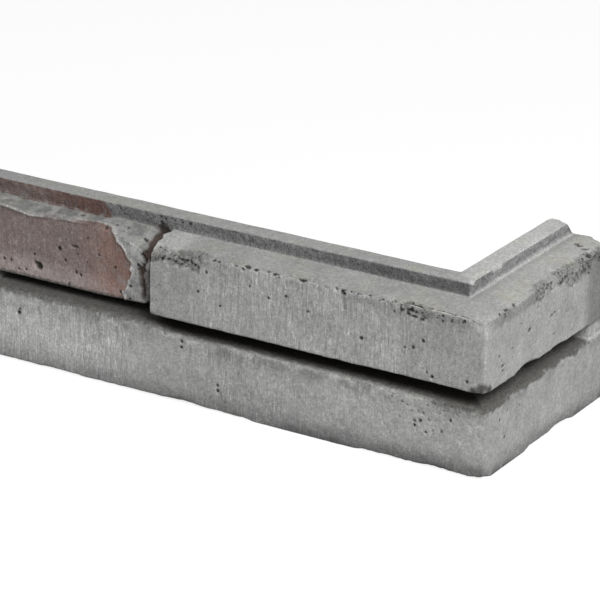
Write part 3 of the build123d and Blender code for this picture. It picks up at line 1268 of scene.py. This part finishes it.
        # Painted shade at the foot, where the face rounds under away from the light
        tone = 1 - foot * (0.36 + 0.2 * near_corner)
        tone *= 1 + lower * long * (0.1 + 0.36 * far_along)
        tone *= 1 + 0.08 * lower * long * middle
        tone *= 1 - 0.3 * lower * near_top * blotches
        return tone * (1 - 0.14 * lower * darker_by_edge)

    def _upper_tone(self, surface: Surface) -> np.ndarray:
        """Works out the upper course's tones: darker by its arrises, with painted shade under the short arm's
        arris and at its short end, where the face turns from the light, and paler on its slope.

        Args:
            surface: The casting's surface.

        Returns:
            The factors.
        """
        u, v, z, long = surface.u, surface.v, surface.z, surface.long
        upper = (z > self.joint_top - 1) * (z < self.brick_top - 0.5) * (1 - surface.up)
        middle = band(40, 80, 190, 225, u)
        long_arris = ramp(100, 70, u) * ramp(92, 99, z)
        # Painted shade where the short arm's face curves away from the light at its end
        short_end_shade = ramp(130, 146, v)
        # Painted shade in the band under the short arm's arris
        short_arris_shade = band(3, 12, 68, 75, v) * ramp(self.brick_top, self.brick_top - 2, z)
        short_arris_shade *= ramp(94, 97.5, z + 1.2 * Lumps(8, 41).at(surface.points))
        slope = (z > 98) * (v < 28) * ramp(222, 232, u) * (u < self.brick_end) * (1 - surface.front)
        tone = 1 + 0.16 * upper * long * middle
        tone *= 1 - 0.2 * upper * long * long_arris
        tone *= 1 - upper * surface.short * (0.42 * short_end_shade + 0.34 * short_arris_shade)
        return tone * (1 + 0.28 * slope)

    def _top_tone(self, surface: Surface, blotches: np.ndarray) -> np.ndarray:
        """Works out the tones of the ledge, the crust on the end brick and the plate, with painted shade and
        light: the tops darker along the long arm and lighter on the short arm, and shade in the cove on the
        short arm.

        Args:
            surface: The casting's surface.
            blotches: Where it is blotched.

        Returns:
            The factors.
        """
        u, v, z, up, short = surface.u, surface.v, surface.z, surface.up, surface.short
        plate = (z > self.brick_top + 2) * (surface.depth > self.plate_front - 2)
        # Painted shade on the tops along the long arm, as the light falls off there
        ledge_painted_shade = 0.14 * ramp(-50, 0, u - v)
        plate_painted_shade = 0.15 * ramp(-20, 20, u - v)
        crust = up * (u > self.red_start) * (1 - plate) * (z > 80)
        # Painted shade in the cove where the plate's front meets the ledge on the short arm
        cove_shade = short * ramp(21, 29, surface.depth) * ramp(self.brick_top + 3, self.brick_top + 1, z)
        long_front = 0.08 - 0.3 * ramp(150, 90, u)
        short_front = 0.42 - 0.3 * ramp(62, 48, v) - 0.75 * ramp(163, 168, v)
        tone = 1 - up * (z > 90) * np.where(plate, plate_painted_shade, ledge_painted_shade)
        tone *= 1 - 0.06 * up * surface.long * (1 - plate) * blotches * ramp(30, 60, u)
        tone *= 1 - crust * (0.12 + 0.25 * blotches)
        tone *= 1 - 0.3 * cove_shade * (z > self.brick_top - 6)
        tone *= 1 + plate * (1 - up) * np.where(short, short_front, long_front)
        # Painted light on the short arm's plate top
        return tone * (1 + 0.22 * up * short * plate)


@dataclass
class Studio:
    """White floor, soft lamps and the camera.

    Attributes:
        anchor: Point that the photograph's view was worked out from, in mm.
        back_away: Camera's distance from it along x, y and z, in mm.
        right: Direction of the picture's right.
        up: Direction of the picture's top.
        lens: Focal length for a 36 mm wide picture.
        key_from: Direction of the key lamp.
        key_power: Its power in watts.
        sky: Strength of the light from all round.
    """

    anchor: tuple[float, float, float] = (200.5, -84.0, 104.0)
    back_away: tuple[float, float, float] = (833.1893, -1596.4735, 707.0109)
    right: tuple[float, float, float] = (0.85226567, 0.52285481, 0.01631173)
    up: tuple[float, float, float] = (-0.20150229, 0.29935812, 0.93262079)
    lens: float = 192.1422
    key_from: tuple[float, float, float] = (0.595, -0.323, 0.736)
    key_power: float = 35.0
    sky: float = 0.36
    floor_white: str = "#FFFFFF"
    floor_grey: str = "#BCBCBC"

    def build(self) -> None:
        """Makes the floor, the lamps, the surroundings and the camera."""
        self._camera()
        self._floor()
        self._lamp()
        self._surroundings()
        LOG.info("studio: camera, floor, key lamp and surroundings")

    def _camera(self) -> None:
        """Places the camera as the photograph was taken."""
        right, up = Vector(self.right), Vector(self.up)
        turn = Matrix((right, up, right.cross(up))).transposed()
        data = bpy.data.cameras.new("camera")
        data.sensor_width = 36
        data.lens = self.lens
        data.clip_start = 0.05
        data.clip_end = 50
        camera = bpy.data.objects.new("camera", data)
        place = (Vector(self.anchor) + Vector(self.back_away)) * MM
        camera.matrix_world = Matrix.Translation(place) @ turn.to_4x4()
        bpy.context.scene.collection.objects.link(camera)
        bpy.context.scene.camera = camera

    def _floor(self) -> None:
        """Makes a plain floor that looks white and still keeps the casting's shadow."""
        mesh = bpy.data.meshes.new("floor")
        half = 6.0
        corners = [(-half, -half, 0), (half, -half, 0), (half, half, 0), (-half, half, 0)]
        mesh.from_pydata(corners, [], [(0, 1, 2, 3)])
        floor = bpy.data.objects.new("floor", mesh)
        floor.location.z = -0.0001
        bpy.context.scene.collection.objects.link(floor)
        made = bpy.data.materials.new("studio_paper")
        made.use_nodes = True
        tree = made.node_tree
        tree.nodes.clear()
        paper = add_node(tree, "BsdfDiffuse", {"Color": linear(self.floor_grey)})
        seen = add_node(tree, "BsdfDiffuse", {"Color": linear(self.floor_white)})
        glow = add_node(tree, "Emission", {"Color": linear(self.floor_white), "Strength": 1.05})
        bright = add_node(tree, "MixShader", {0: 0.8, 1: seen.outputs[0], 2: glow.outputs[0]})
        ray = add_node(tree, "LightPath").outputs["Is Camera Ray"]
        surface = add_node(tree, "MixShader", {0: ray, 1: paper.outputs[0], 2: bright.outputs[0]})
        add_node(tree, "OutputMaterial", {"Surface": surface.outputs[0]})
        mesh.materials.append(made)

    def _lamp(self) -> None:
        """Hangs the key lamp, a large soft one above the right of the front."""
        data = bpy.data.lights.new("key", "AREA")
        data.shape = "DISK"
        data.size = 1.3
        data.energy = self.key_power
        lamp = bpy.data.objects.new("key", data)
        toward = Vector(self.key_from).normalized()
        lamp.location = toward * 2.0
        lamp.rotation_mode = "QUATERNION"
        lamp.rotation_quaternion = toward.to_track_quat("Z", "Y")
        bpy.context.scene.collection.objects.link(lamp)

    def _surroundings(self) -> None:
        """Lights from all round, and shows white behind the floor."""
        world = bpy.data.worlds.new("studio")
        bpy.context.scene.world = world
        world.use_nodes = True
        tree = world.node_tree
        tree.nodes.clear()
        soft = add_node(tree, "Background", {"Color": linear("#FFFFFF"), "Strength": self.sky})
        white = add_node(tree, "Background", {"Color": linear("#FFFFFF"), "Strength": 1.0})
        ray = add_node(tree, "LightPath").outputs["Is Camera Ray"]
        surface = add_node(tree, "MixShader", {0: ray, 1: soft.outputs[0], 2: white.outputs[0]})
        add_node(tree, "OutputWorld", {"Surface": surface.outputs[0]})


def hand_placed_pits() -> list[Pit]:
    """Lists the air bubbles and gouges that stand out, face by face.

    Returns:
        The pits.
    """
    corner_long = (
        (211, 79, 0.9), (194, 73, 0.8), (172, 91, 0.8), (158, 86, 1.1), (145, 90, 1.0), (129, 83, 0.8),
        (103, 101, 1.4), (90, 74, 1.2), (67, 97, 0.9), (48, 96, 0.9), (59, 75, 0.8), (33, 98, 0.9),
        (33, 101, 1.1), (46, 82, 1.2), (53, 76, 1.2), (39, 60, 1.3), (43, 62, 0.7), (15, 62, 1.1),
    )
    corner_short = (
        (59.6, 80, 1.7), (89.8, 80, 1.5), (37, 75.5, 0.9), (25, 67.6, 1.2), (25.5, 64.4, 1.0),
        (70.6, 92, 0.9), (94, 66, 0.9), (20, 75.6, 0.8), (93, 81, 0.9), (110, 76, 0.8), (48, 88, 0.7),
    )
    lower_long = (
        (235, 46, 0.9), (222, 43, 1.0), (222, 39, 1.2), (194, 19, 1.1), (194, 15, 1.2), (45, 30, 1.1),
        (41, 23, 1.1), (49, 26, 1.0), (24, 35, 1.0), (351, 35, 1.4), (350, 38, 0.9), (335, 42, 0.8),
    )
    arris = (
        (244, 95, 1.3), (242, 98, 1.0), (239, 95, 1.4), (234, 96, 1.7), (232, 99, 0.9), (226, 99, 1.3),
        (223.5, 98, 1.4), (221, 98, 1.7), (218, 100, 1.4), (216, 97.5, 1.6), (213.5, 96.5, 1.6),
        (211, 95.5, 1.5), (205, 93.5, 1.4), (246, 92, 0.8), (236, 92.5, 0.8), (229, 95, 1.0),
    )
    red = (
        (327, 81, 1.6), (343.5, 65.5, 2.6), (346, 67.5, 1.5), (304, 93, 1.0), (372, 65, 1.2),
        (313.5, 67.4, 1.2), (347, 73, 0.9), (282, 77, 0.9), (270, 67, 1.1), (270, 58, 1.2),
        (295, 83, 0.8), (322, 74, 1.0), (360, 60, 0.9), (354, 60.6, 0.8), (366, 65, 0.9), (278, 61, 0.9),
        (309.5, 66, 1.4), (319, 57.5, 1.0),
    )
    ledge = (
        (19, 154, 2.3), (16, 152.5, 2.2), (11.5, 150, 2.4), (5.5, 144, 2.4), (4, 40, 1.6), (3, 31, 1.6),
        (4, 29, 1.4), (3, 21, 1.2), (316, 24, 1.6), (337, 16, 1.4), (341, 8, 1.4),
    )
    lower_short = ((20, 34, 1.0), (28, 20, 1.2), (46, 35, 0.8), (30, 37, 0.8))
    placed = [Pit(u, 2, z, radius) for u, z, radius in corner_long]
    placed += [Pit(2, v, z, radius, wide=2.0) for v, z, radius in corner_short]
    placed += [Pit(u, 2.5, z, 0.8 * radius) for u, z, radius in arris]
    placed += [Pit(u, 0, z, radius) for u, z, radius in lower_long]
    placed += [Pit(u, 12, z, radius) for u, z, radius in red]
    placed += [Pit(u, v, 104, radius) for u, v, radius in ledge]
    placed += [Pit(0, v, z, radius) for v, z, radius in lower_short]
    placed += [Pit(263, 12, 83, 1.6, wide=1.6), Pit(259, 12, 83.5, 1.3)]
    return placed + [Pit(314, 12, 85, 1.5, wide=3.0), Pit(19, 153, 104, 1.2, wide=2.5)]


def grooves() -> list[Gully]:
    """Lists the grooves: the end brick's broken side along the crevice, and a dent in the corner brick.

    Returns:
        The grooves.
    """
    return [
        Gully((256, 30, 104), (253.5, 17, 104), 4.8, 4.0, 0.9),
        Gully((253.5, 17, 103), (256, 13.5, 96), 3.8, 3.6, 1.0),
        Gully((256, 13.5, 96), (258.5, 12.5, 90), 3.0, 3.0, 1.0),
        Gully((258.5, 12.5, 90), (258, 12, 86.5), 2.0, 2.6, 1.0),
        Gully((257.5, 32, 100), (257.3, 22, 96.7), 3.4, 0.5, 1.0),
        Gully((257.3, 22, 96.7), (256.8, 17, 92.7), 3.3, 0.5, 1.0),
        Gully((256.8, 17, 92.7), (256.6, 14, 88), 3.0, 0.5, 1.0),
        Gully((261, 12, 79.5), (257.5, 12, 63), 3.6, 3.0, 1.0),
        Gully((104, 2, 99), (103, 2, 91), 1.5, 0.9),
    ]


def scattered_pits() -> list[PitRow]:
    """Lists the rows of pits along the worn arrises.

    Returns:
        The rows.
    """
    return [
        PitRow((247, 2.5, 95), (210, 2.5, 97), 18, 2.0, (0.5, 0.9), 1),
        PitRow((246, 5, 101), (224, 5, 102), 12, 1.5, (0.5, 0.8), 20),
        PitRow((200, 3, 103), (150, 3, 103), 16, 1.0, (0.8, 1.9), 2),
        PitRow((150, 3, 103), (66, 3, 103), 26, 1.0, (0.8, 1.9), 3),
        PitRow((64, 2, 101), (44, 2, 98), 24, 1.8, (0.6, 1.4), 4),
        PitRow((40, 2, 100), (17, 2, 100), 7, 1.4, (0.7, 1.1), 12),
        PitRow((2, 22, 102), (3, 40, 101), 8, 1.6, (0.9, 1.5), 5),
        PitRow((3, 72, 101.5), (3, 91, 101.5), 24, 1.8, (0.8, 1.5), 6),
        PitRow((3, 98, 101), (3, 132, 100), 30, 2.6, (0.8, 1.5), 7),
        PitRow((3, 116, 94), (3, 140, 96), 24, 3.5, (0.8, 1.7), 13),
        PitRow((3, 128, 103), (3, 158, 103), 16, 1.8, (0.8, 1.6), 14),
        PitRow((260, 29, 112), (228, 29, 113), 14, 0.8, (0.5, 0.9), 9),
        PitRow((262, 13, 92), (255, 14, 80), 10, 1.6, (0.9, 1.7), 10),
        PitRow((300, 16, 102), (262, 20, 100), 14, 3.0, (0.8, 1.4), 15),
        PitRow((400, 19, 104), (264, 22, 104), 44, 2.4, (0.5, 1.0), 21),
        PitRow((58, 0, 34), (24, 0, 24), 15, 4.5, (0.5, 1.1), 16, flat=True),
        PitRow((70, 0, 43), (18, 0, 43), 10, 2.0, (0.5, 0.9), 19, flat=True),
        PitRow((68, 0, 32), (16, 0, 36), 16, 5.0, (0.4, 0.8), 22, flat=True),
    ]


def main() -> None:
    """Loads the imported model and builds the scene."""
    logging.basicConfig(level=logging.INFO, format="%(name)s: %(message)s")
    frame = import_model()
    bpy.context.scene.view_settings.view_transform = "Standard"
    Studio().build()
    casting = CornerCasting(pits=hand_placed_pits(), rows=scattered_pits(), gullies=grooves())
    casting.build(frame["nodes"][NODE], CastGypsum())


if __name__ == "__main__":
    main()
